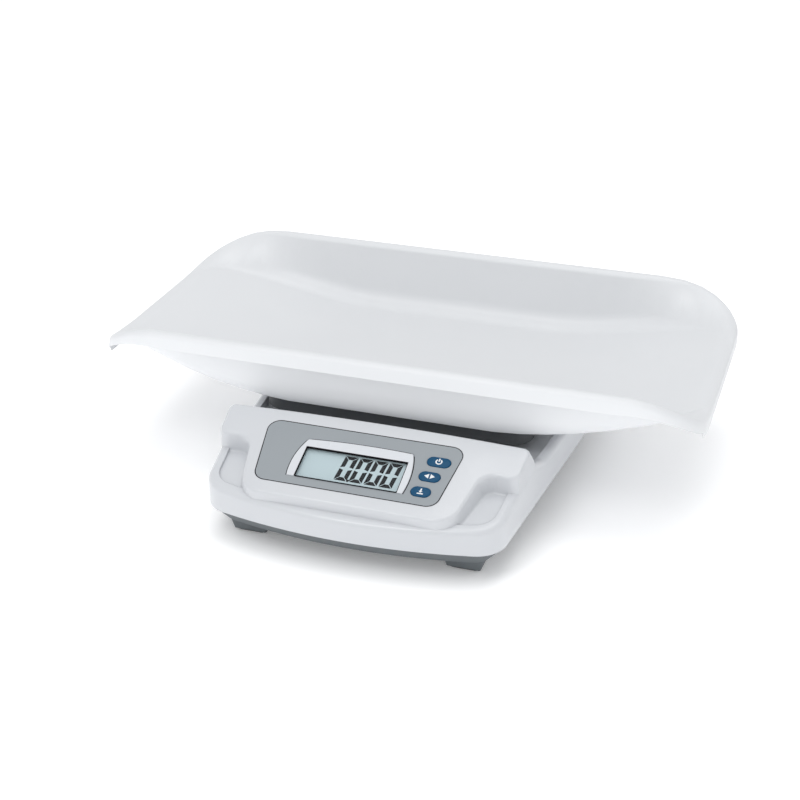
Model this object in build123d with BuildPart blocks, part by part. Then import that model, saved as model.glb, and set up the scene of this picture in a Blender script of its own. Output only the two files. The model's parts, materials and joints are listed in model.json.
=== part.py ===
from build123d import *
import math
import os

os.makedirs("parts", exist_ok=True)

# Baby scale: a long plastic tray on a low base with a sloped display console.
# Millimetres. X runs along the tray, the display looks towards -Y, Z is up.
# The origin is on the floor, under the middle of the whole scale.

# Overall sizes
tray_length = 551.0
tray_width = 286.0
tray_side_height = 137.0
tray_end_height = 110.0
tray_floor_height = 75.0
tray_wall = 2.5
tray_y = 55.5
base_front = tray_y + tray_width / 2
base_back = 165.5
base_half_width = 152.0
base_x = 5.0

# Clearances
running_gap = 0.3
seat_gap = 0.3
screw_gap = 0.1
board_gap = 0.5

# Tray shape
end_lip = 12.5
lip_drop = 14.0
end_skirt = 13.0
floor_flat = 190.0
front_corner = 45.0
back_corner = 56.0
crest_x = tray_length / 2 - end_lip
front_fall_start = 215.0
back_fall_start = 195.0
crease_y = 103.0
crease_draw_in = 6.0
crease_radius = 20.0
crest_radius = 6.0
lip_angle = 78.0
edge_radius = 2.5
socket_x = 80.0
socket_y = 62.0
socket_radius = 7.0
socket_depth = 5.5

# Base shell
shell_bottom = 29.0
shell_wall = 3.0
rim_width = 9.0
rim_front_height = 49.5
rim_slope = 0.235
rim_rear_height = 60.0
recess_depth = 2.5
shell_top_cover = 5.5
rim_radius = 6.0
deck_height = 52.0
deck_thickness = 3.0
deck_front = -88.0

# Console, measured on its own sloped face
panel_slope = 20.3
panel_y = -178.4
panel_z = 63.2
panel_top = 67.3
panel_half_bottom = 79.7
panel_half_top = 88.9
panel_corner = 11.0
panel_thickness = 1.2
console_front = -13.0
console_back = 78.0
console_half_front = 91.0
console_half_rear = 103.0
wing_half = 133.0
wing_start = 46.0
console_height = 26.0
console_draft = 16.0
console_cover = 3.7
console_foot_radius = 2.2
window_x = -0.75
window_s = 25.75
window_width = 90.5
window_height = 33.5
frame_left = 6.5
frame_right = 4.8
frame_top = 9.5
frame_height = 0.8
frame_groove = 0.5
board_depth = 9.2
board_thickness = 1.6
button_height = 10.4
button_proud = 0.9
button_travel = 0.9
button_flange = 1.4
# middle of each button on the panel, and its length
button_places = {
    "button_top": (69.2, 48.0, 20.5),
    "button_middle": (66.0, 31.2, 18.5),
    "button_bottom": (63.4, 14.2, 17.0),
}
panel_gap = 0.45
lens_thickness = 1.5
glass_thickness = 2.6
holder_margin = 5.5
board_length = 164.0
board_width = 66.0
board_s = 29.5
board_post_places = [(-76.0, 1.5), (76.0, 1.5), (-79.0, 58.5), (79.0, 58.5)]
switch_size = 6.0
switch_height = 3.0

# Lower case and feet
case_bottom = 14.0
case_floor = 3.0
case_inset = 1.0
case_draft = 42.0
case_wall = 3.0
case_tongue = 4.0
foot_size = 38.0
foot_bottom = 2.0
foot_taper = 18.0
foot_pad_size = 26.0
foot_pad_height = 3.0
foot_places = [(base_x + side * x, y) for x, y in ((95.5, -150.0), (98.0, 112.0)) for side in (-1, 1)]
case_screw_places = [
    (base_x + side * x, y) for x, y in ((110.0, -118.0), (120.0, 20.0), (86.0, 143.0)) for side in (-1, 1)
]
case_screw_radius = 1.5

# Weighing parts
cell_length = 130.0
cell_width = 30.0
cell_height = 22.0
cell_bottom = 24.0
cell_hole = 7.0
lower_spacer = 4.0
upper_spacer = 8.0
spacer_length = 36.0
cell_screw_radius = 3.0
cell_screw_pitch = 18.0
platform_length = 250.0
platform_depth = 212.0
platform_bottom = 61.0
platform_plate = 3.0
pad_proud = 1.0
pad_radius = 10.0
stop_x = 105.0
stop_y = 78.0
stop_gap = 0.9
stop_radius = 3.0
stop_boss_top = 36.0
platform_top = tray_floor_height - tray_wall - seat_gap - pad_proud
cell_top = cell_bottom + cell_height

# Batteries
battery_radius = 7.1
battery_length = 50.0
battery_gap = 0.8
battery_lift = 0.6
battery_headroom = 2.2
battery_side_room = 2.5
contact_room = 4.5
bay_y = -128.0
bay_wall = 2.0
bay_ledge = 3.0
door_thickness = 2.0
battery_pitch = 2 * battery_radius + battery_gap
battery_z = case_bottom + door_thickness + battery_lift + battery_radius
bay_half_x = 2 * battery_pitch + battery_side_room
bay_half_y = battery_length / 2 + contact_room
bay_roof = battery_z + battery_radius + battery_headroom

# Main circuit board
main_board_x = -45.0
main_board_y = -38.0
main_board_length = 90.0
main_board_width = 56.0
main_board_bottom = 22.0

panel_plane = Plane(
    origin=(0, panel_y, panel_z),
    x_dir=(1, 0, 0),
    z_dir=(0, -math.sin(math.radians(panel_slope)), math.cos(math.radians(panel_slope))),
)
console_plane = Plane(origin=(base_x, panel_y, panel_z), x_dir=(1, 0, 0), z_dir=panel_plane.z_dir)


def save(part, name):
    part.label = name
    export_step(part, "parts/" + name + ".step")
    print(name, round(part.volume), flush=True)


# Tray

def ease(share):
    share = min(max(share, 0.0), 1.0)
    return share * share * (3 - 2 * share)


def rounding(depth, radius):
    """How far a rounded edge has fallen at a depth into its radius."""
    depth = min(max(depth, 0.0), radius)
    return radius - math.sqrt(radius ** 2 - depth ** 2)


def tray_outline(x, wall, side):
    """Corners of half a cross-section, measured from the tray's middle line, on the front (-1) or back (1) side.

    They bound a line, an arc, a line, an arc and a line: the floor, the crease, the wall, the crest and the lip. The
    wall value moves the outline in from the upper face.
    """
    plan_corner, fall_start = (front_corner, front_fall_start) if side < 0 else (back_corner, back_fall_start)
    reach = abs(x)
    run = max(reach - floor_flat / 2, 0.0) / (crest_x - floor_flat / 2)
    sag = 2.0 * (max(reach - crest_x + 4, 0.0) / (end_lip + 4)) ** 2
    edge = rounding(reach - (tray_length / 2 - edge_radius), edge_radius)
    floor = tray_floor_height + (tray_end_height - tray_floor_height) * min(run, 1.0) ** 1.5 - sag - edge
    fall = (max(reach - fall_start, 0.0) / (tray_length / 2 - fall_start)) ** 2
    rim = tray_end_height + 1 + (tray_side_height - tray_end_height - 1) * (1 - fall) - sag - edge
    cut = rounding(reach - (tray_length / 2 - plan_corner), plan_corner) + 0.6 * edge
    lip_turn = math.radians(lip_angle)
    drop = lip_drop * (1 - 0.35 * ease((reach - 198) / 60))
    lip_run = (drop - crest_radius * (1 - math.cos(lip_turn))) / math.sin(lip_turn)
    crest = tray_width / 2 - cut - crest_radius * math.sin(lip_turn) - lip_run * math.cos(lip_turn)
    foot = crease_y - crease_draw_in * ease((reach - 150) / 90) - cut
    across = crest - foot
    bend = crease_radius * (1 - 0.5 * ease((reach - 190) / 60))
    up = rim - crest_radius - floor - bend
    steep = math.atan2(up, across) + math.asin((crest_radius + bend) / math.hypot(across, up))
    outer = crest_radius - wall
    inner = bend + wall
    crease = (foot, floor + bend)
    top = (crest, rim - crest_radius)
    lip = (top[0] + outer * math.sin(lip_turn), top[1] + outer * math.cos(lip_turn))
    return {
        "foot": (foot, crease[1] - inner),
        "crease": (crease[0] + inner * math.sin(steep / 2), crease[1] - inner * math.cos(steep / 2)),
        "wall_low": (crease[0] + inner * math.sin(steep), crease[1] - inner * math.cos(steep)),
        "wall_high": (top[0] - outer * math.sin(steep), top[1] + outer * math.cos(steep)),
        "crest": (
            top[0] + outer * math.sin((lip_turn - steep) / 2),
            top[1] + outer * math.cos((lip_turn - steep) / 2),
        ),
        "lip": lip,
        "end": (lip[0] + lip_run * math.cos(lip_turn), lip[1] - lip_run * math.sin(lip_turn)),
    }


def draw_half(x, wall, side):
    """The edges of half a section on one side, from the floor out to the lip's edge."""
    corner = {name: (tray_y + side * y, z) for name, (y, z) in tray_outline(x, wall, side).items()}
    ThreePointArc(corner["foot"], corner["crease"], corner["wall_low"])
    Line(corner["wall_low"], corner["wall_high"])
    ThreePointArc(corner["wall_high"], corner["crest"], corner["lip"])
    Line(corner["lip"], corner["end"])
    return corner


def draw_skin(x):
    """A section through the tray's wall."""
    with BuildLine() as outline:
        upper_back = draw_half(x, 0, 1)
        upper_front = draw_half(x, 0, -1)
        lower_back = draw_half(x, tray_wall, 1)
        lower_front = draw_half(x, tray_wall, -1)
        Line(upper_front["foot"], upper_back["foot"])
        Line(lower_front["foot"], lower_back["foot"])
        Line(upper_back["end"], lower_back["end"])
        Line(upper_front["end"], lower_front["end"])
    make_face(outline.edges())


def draw_end(x):
    """A section of the lip that closes each end."""
    foot_z = tray_end_height - end_skirt
    with BuildLine() as outline:
        back = draw_half(x, 0, 1)
        front = draw_half(x, 0, -1)
        Line(front["foot"], back["foot"])
        Line(back["end"], (back["end"][0] - 3, foot_z))
        Line((back["end"][0] - 3, foot_z), (front["end"][0] + 3, foot_z))
        Line((front["end"][0] + 3, foot_z), front["end"])
    make_face(outline.edges())


end_plate_x = tray_length / 2 - edge_radius
stations = [floor_flat / 2, 118, 142, 168, 194, 216, 233, 246, 256, 263, 269, end_plate_x]
end_stations = [end_plate_x, end_plate_x + 1.3, end_plate_x + 2.1, tray_length / 2]

with BuildPart() as tray:
    with BuildSketch(Plane.YZ.offset(-floor_flat / 2)):
        draw_skin(0)
    extrude(amount=floor_flat)
    for side in (-1, 1):
        for station in stations:
            with BuildSketch(Plane.YZ.offset(side * station)):
                draw_skin(station)
        loft(ruled=True)
        for station in end_stations:
            with BuildSketch(Plane.YZ.offset(side * station)):
                draw_end(station)
        loft(ruled=True)
    # sockets that drop over the platform's holes
    with BuildSketch(Plane.XY.offset(tray_floor_height - 1)):
        with Locations((0, tray_y)):
            with GridLocations(2 * socket_x, 2 * socket_y, 2, 2):
                Circle(socket_radius)
                Circle(socket_radius - 2, mode=Mode.SUBTRACT)
    extrude(amount=-(tray_wall - 1 + socket_depth))
save(tray.part, "tray")

# Platform under the tray

with BuildPart() as platform:
    with BuildSketch(Plane.XY.offset(platform_bottom)):
        with Locations((0, tray_y)):
            RectangleRounded(platform_length, platform_depth, 20)
    extrude(amount=platform_top - platform_bottom, taper=8)
    with BuildSketch(Plane.XY.offset(platform_bottom)):
        with Locations((0, tray_y)):
            RectangleRounded(platform_length - 6, platform_depth - 6, 17)
    extrude(amount=platform_top - platform_bottom - platform_plate, taper=8, mode=Mode.SUBTRACT)
    # ribs, socket cups and stop pads
    with BuildSketch(Plane.XY.offset(platform_bottom + 1)):
        with Locations((0, tray_y)):
            for x in (-90, -35, 90):
                with Locations((x, 0)):
                    Rectangle(2.5, platform_depth - 8)
            for y in (-45, 45):
                with Locations((0, y)):
                    Rectangle(platform_length - 8, 2.5)
            with GridLocations(2 * socket_x, 2 * socket_y, 2, 2):
                Circle(socket_radius + 4)
    extrude(amount=platform_top - platform_bottom - 2)
    with BuildSketch(Plane.XY.offset(platform_bottom)):
        with Locations((0, tray_y)):
            with GridLocations(2 * stop_x, 2 * stop_y, 2, 2):
                Circle(8)
    extrude(amount=platform_top - platform_bottom - 1)
    # boss that stands on the load cell's free end
    with BuildSketch(Plane.XY.offset(cell_top + upper_spacer)):
        with Locations((cell_length / 2 - spacer_length / 2, tray_y)):
            RectangleRounded(spacer_length + 4, cell_width + 8, 4)
    extrude(amount=platform_top - cell_top - upper_spacer - 1)
    # recesses for the pads and holes for the tray's sockets
    with BuildSketch(Plane.XY.offset(platform_top - 1)):
        with Locations((0, tray_y)):
            with GridLocations(2 * 60, 2 * 84, 2, 2):
                Circle(pad_radius + screw_gap)
    extrude(amount=2, mode=Mode.SUBTRACT)
    with BuildSketch(Plane.XY.offset(platform_top - socket_depth - 1.0)):
        with Locations((0, tray_y)):
            with GridLocations(2 * socket_x, 2 * socket_y, 2, 2):
                Circle(socket_radius + running_gap)
    extrude(amount=socket_depth + 3, mode=Mode.SUBTRACT)
    # screw holes
    with BuildSketch(Plane.XY.offset(platform_top - 8)):
        with Locations((cell_length / 2 - spacer_length / 2, tray_y)):
            with GridLocations(cell_screw_pitch, 1, 2, 1):
                Circle(2 * cell_screw_radius)
    extrude(amount=10, mode=Mode.SUBTRACT)
    with BuildSketch(Plane.XY.offset(cell_top)):
        with Locations((cell_length / 2 - spacer_length / 2, tray_y)):
            with GridLocations(cell_screw_pitch, 1, 2, 1):
                Circle(cell_screw_radius + screw_gap)
    extrude(amount=platform_top - cell_top, mode=Mode.SUBTRACT)
save(platform.part, "platform")

with BuildPart() as platform_pads:
    with BuildSketch(Plane.XY.offset(platform_top - 1)):
        with Locations((0, tray_y)):
            with GridLocations(2 * 60, 2 * 84, 2, 2):
                Circle(pad_radius)
    extrude(amount=1 + pad_proud)
    chamfer(platform_pads.edges().group_by(Axis.Z)[-1], 0.4)
save(platform_pads.part, "platform_pads")

# Load cell and what fixes it

with BuildPart() as load_cell:
    with BuildSketch(Plane.XY.offset(cell_bottom)):
        with Locations((0, tray_y)):
            RectangleRounded(cell_length, cell_width, 1.5)
    extrude(amount=cell_height)
    with BuildSketch(Plane.XZ.offset(-tray_y)):
        with Locations((0, cell_bottom + cell_height / 2)):
            with GridLocations(2 * 12, 1, 2, 1):
                Circle(cell_hole)
            Rectangle(2 * 12, 3)
    extrude(amount=cell_width, both=True, mode=Mode.SUBTRACT)
    for side in (-1, 1):
        with BuildSketch(Plane.XY.offset(cell_bottom)):
            with Locations((side * (cell_length / 2 - spacer_length / 2), tray_y)):
                with GridLocations(cell_screw_pitch, 1, 2, 1):
                    Circle(cell_screw_radius + screw_gap)
        extrude(amount=cell_height, mode=Mode.SUBTRACT)
save(load_cell.part, "load_cell")

with BuildPart() as gauge_covers:
    for low in (cell_bottom - 1.2, cell_top):
        with BuildSketch(Plane.XY.offset(low)):
            with Locations((0, tray_y)):
                RectangleRounded(44, 22, 5)
        extrude(amount=1.2)
save(gauge_covers.part, "gauge_covers")

with BuildPart() as cell_spacer_lower:
    with BuildSketch(Plane.XY.offset(cell_bottom - lower_spacer)):
        with Locations((-(cell_length / 2 - spacer_length / 2), tray_y)):
            Rectangle(spacer_length, cell_width)
            with GridLocations(cell_screw_pitch, 1, 2, 1):
                Circle(cell_screw_radius + screw_gap, mode=Mode.SUBTRACT)
    extrude(amount=lower_spacer)
save(cell_spacer_lower.part, "cell_spacer_lower")

with BuildPart() as cell_spacer_upper:
    with BuildSketch(Plane.XY.offset(cell_top)):
        with Locations((cell_length / 2 - spacer_length / 2, tray_y)):
            Rectangle(spacer_length, cell_width)
            with GridLocations(cell_screw_pitch, 1, 2, 1):
                Circle(cell_screw_radius + screw_gap, mode=Mode.SUBTRACT)
    extrude(amount=upper_spacer)
save(cell_spacer_upper.part, "cell_spacer_upper")

with BuildPart() as cell_screws_upper:
    with BuildSketch(Plane.XY.offset(platform_top - 8)):
        with Locations((cell_length / 2 - spacer_length / 2, tray_y)):
            with GridLocations(cell_screw_pitch, 1, 2, 1):
                Circle(1.75 * cell_screw_radius)
    extrude(amount=5)
    with BuildSketch(Plane.XY.offset(cell_bottom + 6)):
        with Locations((cell_length / 2 - spacer_length / 2, tray_y)):
            with GridLocations(cell_screw_pitch, 1, 2, 1):
                Circle(cell_screw_radius)
    extrude(amount=platform_top - 8 - cell_bottom - 6)
    with BuildSketch(Plane.XY.offset(platform_top - 5.5)):
        with Locations((cell_length / 2 - spacer_length / 2, tray_y)):
            with GridLocations(cell_screw_pitch, 1, 2, 1):
                RegularPolygon(2.9, 6)
    extrude(amount=3, mode=Mode.SUBTRACT)
save(cell_screws_upper.part, "cell_screws_upper")

with BuildPart() as cell_screws_lower:
    with BuildSketch(Plane.XY.offset(case_bottom + 0.5)):
        with Locations((-(cell_length / 2 - spacer_length / 2), tray_y)):
            with GridLocations(cell_screw_pitch, 1, 2, 1):
                Circle(1.75 * cell_screw_radius)
    extrude(amount=2)
    with BuildSketch(Plane.XY.offset(case_bottom + 2.5)):
        with Locations((-(cell_length / 2 - spacer_length / 2), tray_y)):
            with GridLocations(cell_screw_pitch, 1, 2, 1):
                Circle(cell_screw_radius)
    extrude(amount=cell_top - 4 - case_bottom - 2.5)
save(cell_screws_lower.part, "cell_screws_lower")


# Base outline

side_front_x = 129.3
side_middle_x = 149.5
side_front_y = -181.0


def draw_base_outline():
    with BuildLine() as outline:
        ThreePointArc((-side_front_x, side_front_y), (0, -base_front), (side_front_x, side_front_y))
        Polyline(
            (side_front_x, side_front_y),
            (side_middle_x, 42.5),
            (base_half_width, base_back),
            (-base_half_width, base_back),
            (-side_middle_x, 42.5),
            (-side_front_x, side_front_y),
        )
    make_face(outline.edges())


def base_outline(inset, height=0):
    """A level face with its corners rounded and drawn in by inset."""
    with BuildSketch(mode=Mode.PRIVATE) as outline:
        draw_base_outline()
        corners = outline.vertices()
        fillet(corners.group_by(Axis.Y)[0], 27)
        fillet(outline.vertices().group_by(Axis.Y)[-1], 45)
        if inset:
            offset(amount=-inset, kind=Kind.INTERSECTION, mode=Mode.REPLACE)
    return outline.sketch.moved(Location((base_x, 0, height)))


def panel_outline(inset):
    """The panel's outline, drawn in by inset, in the sloped face's own plane."""
    with BuildSketch(mode=Mode.PRIVATE) as outline:
        with BuildLine():
            Polyline(
                (-panel_half_bottom, 0),
                (panel_half_bottom, 0),
                (panel_half_top, panel_top),
                (-panel_half_top, panel_top),
                close=True,
            )
        make_face()
        fillet(outline.vertices(), panel_corner)
        if inset:
            offset(amount=-inset, kind=Kind.INTERSECTION, mode=Mode.REPLACE)
    return outline.sketch


def rim_height(y):
    return rim_front_height + rim_slope * (y + base_front - 5)


# Upper shell

with BuildPart() as inner_space:
    add(base_outline(shell_wall))
    extrude(amount=140)
    with BuildSketch(Plane.YZ.offset(-200)):
        with BuildLine():
            Polyline(
                (-260, rim_height(-260) - shell_top_cover),
                (-100, rim_height(-100) - shell_top_cover),
                (deck_front - 3.5, rim_height(-100) - shell_top_cover - 4),
                (deck_front - 3.5, deck_height - deck_thickness),
                (260, deck_height - deck_thickness),
                (260, 200),
                (-260, 200),
                close=True,
            )
        make_face()
    extrude(amount=400, mode=Mode.SUBTRACT)


def draw_console(inset, front, back):
    with BuildLine() as outline:
        Line((-console_half_front + inset, front), (console_half_front - inset, front))
        Line((console_half_front - inset, front), (console_half_rear - inset, wing_start + inset))
        Line((console_half_rear - inset, wing_start + inset), (wing_half - inset, wing_start - 3 + inset))
        Line((wing_half - inset, wing_start - 3 + inset), (wing_half + 2 - inset, back))
        ThreePointArc((wing_half + 2 - inset, back), (0, back + 3), (-wing_half - 2 + inset, back))
        Line((-wing_half - 2 + inset, back), (-wing_half + inset, wing_start - 3 + inset))
        Line((-wing_half + inset, wing_start - 3 + inset), (-console_half_rear + inset, wing_start + inset))
        Line((-console_half_rear + inset, wing_start + inset), (-console_half_front + inset, front))
    make_face(outline.edges())


with BuildPart() as console_space:
    with BuildSketch(console_plane.offset(-console_cover)) as console_space_sketch:
        draw_console(3.5, console_front + 3.5, console_back - 3.5)
        fillet(console_space_sketch.vertices().group_by(Axis.Y)[0], 17)
    extrude(amount=-60)

with BuildPart() as console_block:
    with BuildSketch(console_plane) as console_sketch:
        draw_console(0, console_front, console_back)
        rows = console_sketch.vertices().group_by(Axis.Y)
        fillet(rows[0], 20)
        fillet([v for v in console_sketch.vertices() if abs(v.Y - wing_start) < 0.1], 15)
        fillet([v for v in console_sketch.vertices() if abs(v.Y - wing_start + 3) < 0.1], 9)
        fillet([v for v in console_sketch.vertices() if abs(v.Y - console_back) < 0.1], 6)
    extrude(amount=-console_height, taper=-console_draft)
    top_face = console_block.faces().filter_by(lambda f: f.normal_at().dot(panel_plane.z_dir) > 0.99)
    fillet(top_face.sort_by(SortBy.AREA)[-1].edges(), 3.5)
    add(base_outline(1))
    extrude(amount=140, mode=Mode.INTERSECT)

with BuildPart() as upper_shell:
    add(base_outline(0))
    extrude(amount=140)
    with BuildSketch(Plane.YZ.offset(-200)) as rim_cut:
        with BuildLine():
            Polyline(
                (-260, rim_height(-260)),
                (-100, rim_height(-100)),
                (-66, rim_rear_height),
                (260, rim_rear_height),
                (260, 200),
                (-260, 200),
                close=True,
            )
        make_face()
        fillet([v for v in rim_cut.vertices() if -110 < v.X < -50], 22)
    extrude(amount=400, mode=Mode.SUBTRACT)
    top_edges = [
        e
        for e in upper_shell.edges()
        if e.center().Z > 40 and not (abs(e.center().X - base_x) < 1 and -120 < e.center().Y < 100)
    ]
    fillet(top_edges, rim_radius)
    # shallow channel between the console and the rim
    with BuildPart(mode=Mode.PRIVATE) as channel:
        add(base_outline(rim_width))
        extrude(amount=140)
        with BuildSketch(Plane.YZ.offset(-200)):
            with BuildLine():
                Polyline(
                    (-260, rim_height(-260) - recess_depth),
                    (-100, rim_height(-100) - recess_depth),
                    (-100, 0),
                    (-260, 0),
                    close=True,
                )
            make_face()
        extrude(amount=400, mode=Mode.SUBTRACT)
        with BuildSketch(Plane.YZ.offset(-200)):
            with BuildLine():
                Polyline(
                    (-100, 0),
                    (-100, 140),
                    (deck_front, 140),
                    (deck_front, deck_height),
                    (260, deck_height),
                    (260, 0),
                    close=True,
                )
            make_face()
        extrude(amount=400, mode=Mode.SUBTRACT)
    add(channel.part, mode=Mode.SUBTRACT)
    add(console_block.part)
    # the console rises out of the channel in a soft curve
    console_foot = [
        e
        for e in upper_shell.edges()
        if all(abs(p.Z - rim_height(p.Y) + recess_depth) < 0.02 for p in (e @ 0, e @ 0.5, e @ 1))
        and (abs((e @ 0.5).X - base_x) < console_half_front + 10 or (e @ 0.5).Y > -170)
        and abs((e @ 0.5).X - base_x) < wing_half - 10
        and (e @ 0.5).Y < -120
    ]
    fillet(console_foot, console_foot_radius)
    with BuildSketch(Plane.XY):
        Rectangle(400, 500)
    extrude(amount=shell_bottom, mode=Mode.SUBTRACT)
    add(inner_space.part, mode=Mode.SUBTRACT)
    add(console_space.part, mode=Mode.SUBTRACT)
    # screw bosses
    for x, y in case_screw_places:
        roof = deck_height - deck_thickness
        if y < deck_front:
            roof = panel_z + (y - panel_y) * math.tan(math.radians(panel_slope)) - console_cover - 1
        with BuildSketch(Plane.XY.offset(shell_bottom)):
            with Locations((x, y)):
                Circle(5)
        extrude(amount=roof - shell_bottom + 1)
        with BuildSketch(Plane.XY.offset(shell_bottom)):
            with Locations((x, y)):
                Circle(case_screw_radius + screw_gap)
        extrude(amount=14, mode=Mode.SUBTRACT)
    # deck openings for the platform's boss and for the stops
    with BuildSketch(Plane.XY.offset(deck_height - 10)):
        with Locations((cell_length / 2 - spacer_length / 2, tray_y)):
            RectangleRounded(spacer_length + 12, cell_width + 16, 6)
        with Locations((0, tray_y)):
            with GridLocations(2 * stop_x, 2 * stop_y, 2, 2):
                Circle(8)
    extrude(amount=20, mode=Mode.SUBTRACT)
    # recess for the panel, opening for the display and the button holes
    with BuildSketch(panel_plane.offset(-panel_thickness)):
        add(panel_outline(0))
    extrude(amount=4, mode=Mode.SUBTRACT)
    with BuildSketch(panel_plane.offset(-6)):
        with Locations((window_x, window_s)):
            Rectangle(window_width + 6, window_height + 6)
        for x, s, length in button_places.values():
            with Locations((x, s)):
                SlotOverall(length + 2 * running_gap, button_height + 2 * running_gap)
    extrude(amount=8, mode=Mode.SUBTRACT)
    # posts for the display board
    with BuildSketch(panel_plane.offset(-board_depth)):
        for x, s in board_post_places:
            with Locations((x, s)):
                Circle(3.2)
                Circle(1.2, mode=Mode.SUBTRACT)
    extrude(amount=board_depth - console_cover + 0.5)
save(upper_shell.part, "upper_shell")

# Display panel and what it frames

window_left = window_x - window_width / 2
window_right = window_x + window_width / 2
window_low = window_s - window_height / 2
window_high = window_s + window_height / 2


def draw_frame_outline(margin):
    """The frame's bowed outline, open along the display's lower edge."""
    left = window_left - frame_left - margin
    right = window_right + frame_right + margin
    high = window_high + frame_top + margin
    top_left = (left + 5.5, high - 1.5)
    top_right = (right - 3.5, high)
    with BuildLine() as outline:
        ThreePointArc((left, window_low), (left - 0.4, window_s + 6), top_left)
        ThreePointArc(top_left, (window_x, high + 0.9), top_right)
        ThreePointArc(top_right, (right + 0.9, window_s + 6), (right - 0.3, window_low))
        Line((right - 0.3, window_low), (left, window_low))
    make_face(outline.edges())


with BuildPart() as display_panel:
    with BuildSketch(panel_plane.offset(-panel_thickness)):
        add(panel_outline(panel_gap))
        with Locations((window_x, window_s)):
            RectangleRounded(window_width, window_height, 1.5, mode=Mode.SUBTRACT)
        for x, s, length in button_places.values():
            with Locations((x, s)):
                SlotOverall(length + 2 * running_gap, button_height + 2 * running_gap, mode=Mode.SUBTRACT)
    extrude(amount=panel_thickness)
    # shadow line round the frame
    with BuildSketch(panel_plane.offset(-frame_groove)) as groove_sketch:
        draw_frame_outline(0.7)
        fillet(groove_sketch.vertices().filter_by(lambda v: v.Y > window_high), 2.7)
        with BuildSketch(mode=Mode.PRIVATE) as inner_sketch:
            draw_frame_outline(0)
            fillet(inner_sketch.vertices().filter_by(lambda v: v.Y > window_high), 2)
        add(inner_sketch.sketch, mode=Mode.SUBTRACT)
    extrude(amount=1, mode=Mode.SUBTRACT)
save(display_panel.part, "display_panel")

with BuildPart() as display_frame:
    with BuildSketch(panel_plane) as frame_sketch:
        draw_frame_outline(0)
        fillet(frame_sketch.vertices().filter_by(lambda v: v.Y > window_high), 2)
    extrude(amount=frame_height)
    chamfer(display_frame.faces().sort_by(Axis(origin=(0, 0, 0), direction=panel_plane.z_dir))[-1].edges(), 0.35)
    with BuildSketch(panel_plane):
        with Locations((window_x, window_s)):
            Rectangle(window_width, window_height + 0.02)
    extrude(amount=frame_height, mode=Mode.SUBTRACT)
save(display_frame.part, "display_frame")

with BuildPart() as display_window:
    with BuildSketch(panel_plane.offset(-panel_thickness - lens_thickness)):
        with Locations((window_x, window_s)):
            RectangleRounded(window_width + 5, window_height + 5, 1.5)
    extrude(amount=lens_thickness)
save(display_window.part, "display_window")

glass_bottom = panel_thickness + lens_thickness + 0.2 + glass_thickness

with BuildPart() as lcd_glass:
    with BuildSketch(panel_plane.offset(-glass_bottom)):
        with Locations((window_x, window_s)):
            Rectangle(window_width + 4, window_height + 4)
    extrude(amount=glass_thickness)
save(lcd_glass.part, "lcd_glass")

with BuildPart() as lcd_holder:
    with BuildSketch(panel_plane.offset(-board_depth)):
        with Locations((window_x, window_s)):
            RectangleRounded(window_width + 2 * holder_margin, window_height + 2 * holder_margin, 2)
    extrude(amount=board_depth - console_cover - seat_gap)
    with BuildSketch(panel_plane.offset(-glass_bottom)):
        with Locations((window_x, window_s)):
            Rectangle(window_width + 4.4, window_height + 4.4)
    extrude(amount=10, mode=Mode.SUBTRACT)
    with BuildSketch(panel_plane.offset(-board_depth)):
        with Locations((window_x, window_s)):
            Rectangle(window_width - 6, window_height - 6)
    extrude(amount=board_depth - glass_bottom - 1.2, mode=Mode.SUBTRACT)
save(lcd_holder.part, "lcd_holder")

with BuildPart() as display_board:
    with BuildSketch(panel_plane.offset(-board_depth - board_thickness)):
        with Locations((0, board_s)):
            RectangleRounded(board_length, board_width, 8)
        for x, s in board_post_places:
            with Locations((x, s)):
                Circle(1.3, mode=Mode.SUBTRACT)
    extrude(amount=board_thickness)
save(display_board.part, "display_board")

with BuildPart() as tact_switches:
    for x, s, length in button_places.values():
        with BuildSketch(panel_plane.offset(-board_depth)):
            with Locations((x, s)):
                RectangleRounded(switch_size, switch_size, 0.6)
        extrude(amount=switch_height)
        with BuildSketch(panel_plane.offset(-board_depth + 1)):
            with Locations((x, s)):
                Circle(1.85)
        extrude(amount=switch_height, mode=Mode.SUBTRACT)
save(tact_switches.part, "tact_switches")


def make_button(x, s, length):
    """A blue oval cap with a flange under the shell's wall and a stem that works the switch."""
    stem_bottom = board_depth - switch_height + 0.8
    with BuildPart() as button:
        with BuildSketch(panel_plane.offset(-console_cover - button_flange)):
            with Locations((x, s)):
                SlotOverall(length + 2.6, button_height + 2.6)
        extrude(amount=button_flange)
        with BuildSketch(panel_plane.offset(-console_cover)):
            with Locations((x, s)):
                SlotOverall(length, button_height)
        extrude(amount=console_cover + button_proud)
        chamfer(button.faces().sort_by(Axis(origin=(0, 0, 0), direction=panel_plane.z_dir))[-1].edges(), 0.5)
        with BuildSketch(panel_plane.offset(-stem_bottom)):
            with Locations((x, s)):
                Circle(1.7)
        extrude(amount=stem_bottom - console_cover - button_flange)
    return button.part


for name, (x, s, length) in button_places.items():
    save(make_button(x, s, length), name)

# Lower case

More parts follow.
